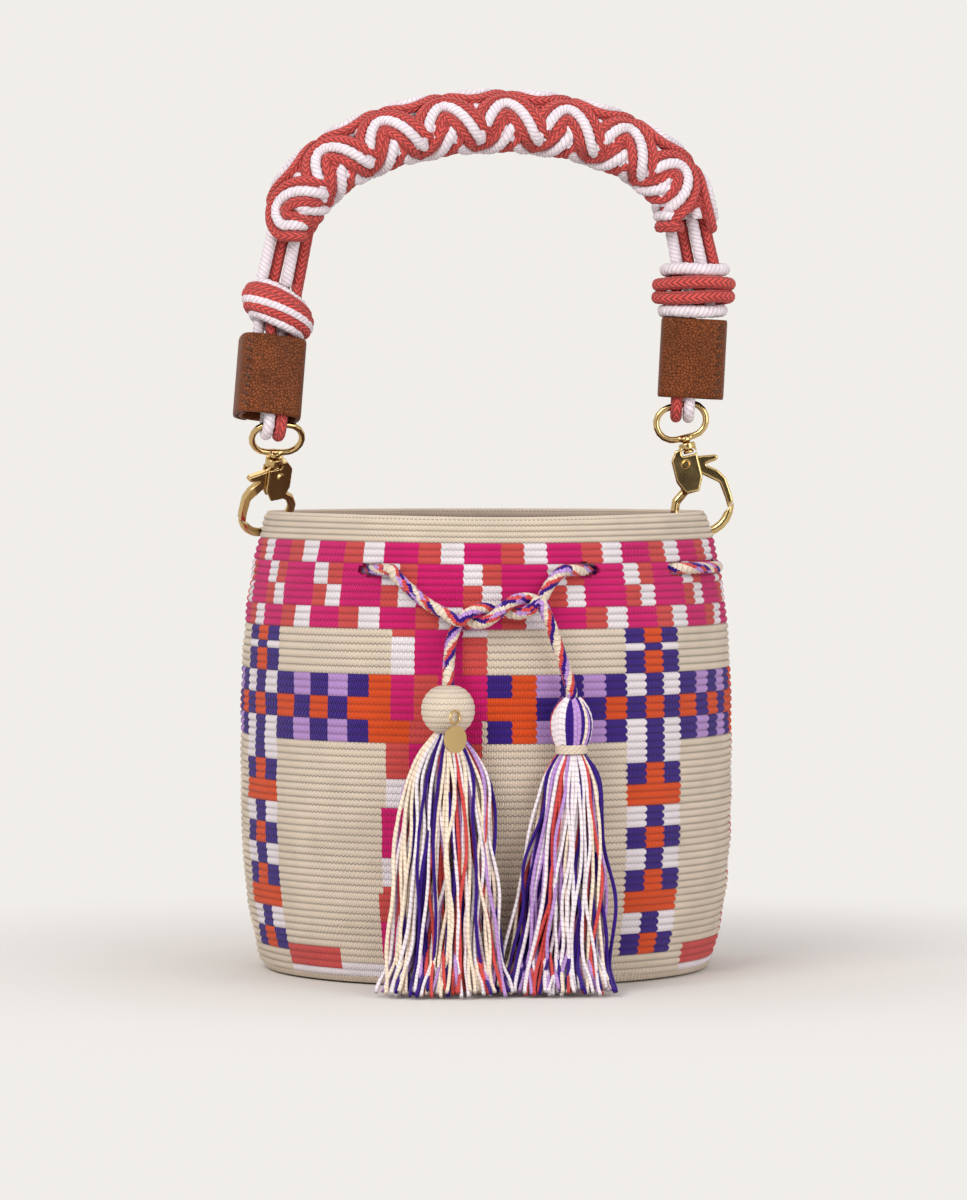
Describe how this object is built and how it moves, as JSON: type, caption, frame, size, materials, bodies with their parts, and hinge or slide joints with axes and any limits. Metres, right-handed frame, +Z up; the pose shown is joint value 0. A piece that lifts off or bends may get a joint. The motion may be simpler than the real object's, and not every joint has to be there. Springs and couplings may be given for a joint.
{
  "type": "crocheted bucket bag",
  "caption": "Round crocheted bucket bag with a drawstring mouth, two tassels and a short knotted rope handle on swivel clasps.",
  "frame": {"origin": "centre of the flat base, on the surface that the bag stands on", "axes": "+Z up, -Y is the front with the two tassels, +X runs to the right clasp"},
  "size_m": [0.215, 0.2563, 0.3745],
  "materials": {
    "natural_yarn": "matt mercerised cotton crochet, natural beige",
    "cord_yarn": "matt cotton, mixed purple, coral, lilac and natural strands",
    "coral_rope": "matt twisted cotton rope, coral",
    "white_rope": "matt twisted cotton rope, white",
    "brown_leather": "pebbled leather, brown",
    "gold": "polished pale gold plating",
    "tan_thread": "waxed thread, tan"
  },
  "bodies": {
    "bag": {"crochet_body": "natural_yarn", "drawstring": "cord_yarn", "drawstring_left_end": "cord_yarn", "drawstring_right_end": "cord_yarn", "left_tassel_ball": "natural_yarn", "left_tassel_skirt": "natural_yarn", "right_tassel_head": "cord_yarn", "right_tassel_binding": "natural_yarn", "right_tassel_skirt": "cord_yarn"},
    "charm": {"charm_ring": "gold", "charm_disc": "gold"},
    "handle": {"handle_sinnet": "coral_rope", "left_core_rope_1": "white_rope", "left_core_rope_2": "coral_rope", "left_core_rope_3": "white_rope", "left_core_rope_4": "coral_rope", "left_stopper_knot": "coral_rope", "left_leather_sleeve": "brown_leather", "left_sleeve_stitching": "tan_thread", "left_rope_loop_1": "coral_rope", "left_rope_loop_2": "white_rope", "left_clasp_eye": "gold", "right_core_rope_1": "white_rope", "right_core_rope_2": "coral_rope", "right_core_rope_3": "white_rope", "right_core_rope_4": "coral_rope", "right_stopper_knot": "coral_rope", "right_leather_sleeve": "brown_leather", "right_sleeve_stitching": "tan_thread", "right_rope_loop_1": "coral_rope", "right_rope_loop_2": "white_rope", "right_clasp_eye": "gold"},
    "left_hook": {"left_hook": "gold", "left_rivet": "gold", "left_trigger_spring": "gold"},
    "left_trigger": {"left_trigger": "gold"},
    "right_hook": {"right_hook": "gold", "right_rivet": "gold", "right_trigger_spring": "gold"},
    "right_trigger": {"right_trigger": "gold"}
  },
  "joints": [
    {"name": "handle_swing", "type": "hinge", "parent": "bag", "child": "handle", "pos_m": [0, 0, 0.187], "axis": [1, 0, 0], "range_deg": [-45, 12]},
    {"name": "charm_swing", "type": "hinge", "parent": "bag", "child": "charm", "pos_m": [-0.0126, -0.1285, 0.11345], "axis": [1, 0, 0], "range_deg": [-20, 0]},
    {"name": "left_swivel", "type": "hinge", "parent": "handle", "child": "left_hook", "pos_m": [-0.09564, 0, 0.187], "axis": [0.1392, -0.5538, 0.821], "range_deg": [-60, 0]},
    {"name": "left_trigger_press", "type": "hinge", "parent": "left_hook", "child": "left_trigger", "pos_m": [-0.08926, -0.01562, 0.21239], "axis": [0.4951, -0.6791, -0.542], "range_deg": [0, 20], "stiffness_Nm_per_rad": 0.01, "springref_deg": -20.05},
    {"name": "right_swivel", "type": "hinge", "parent": "handle", "child": "right_hook", "pos_m": [0.09564, 0, 0.187], "axis": [-0.2419, 0, 0.9703], "range_deg": [-30, 30]},
    {"name": "right_trigger_press", "type": "hinge", "parent": "right_hook", "child": "right_trigger", "pos_m": [0.08586, 0, 0.21587], "axis": [0, 1, 0], "range_deg": [0, 20], "stiffness_Nm_per_rad": 0.01, "springref_deg": -20.05}
  ]
}
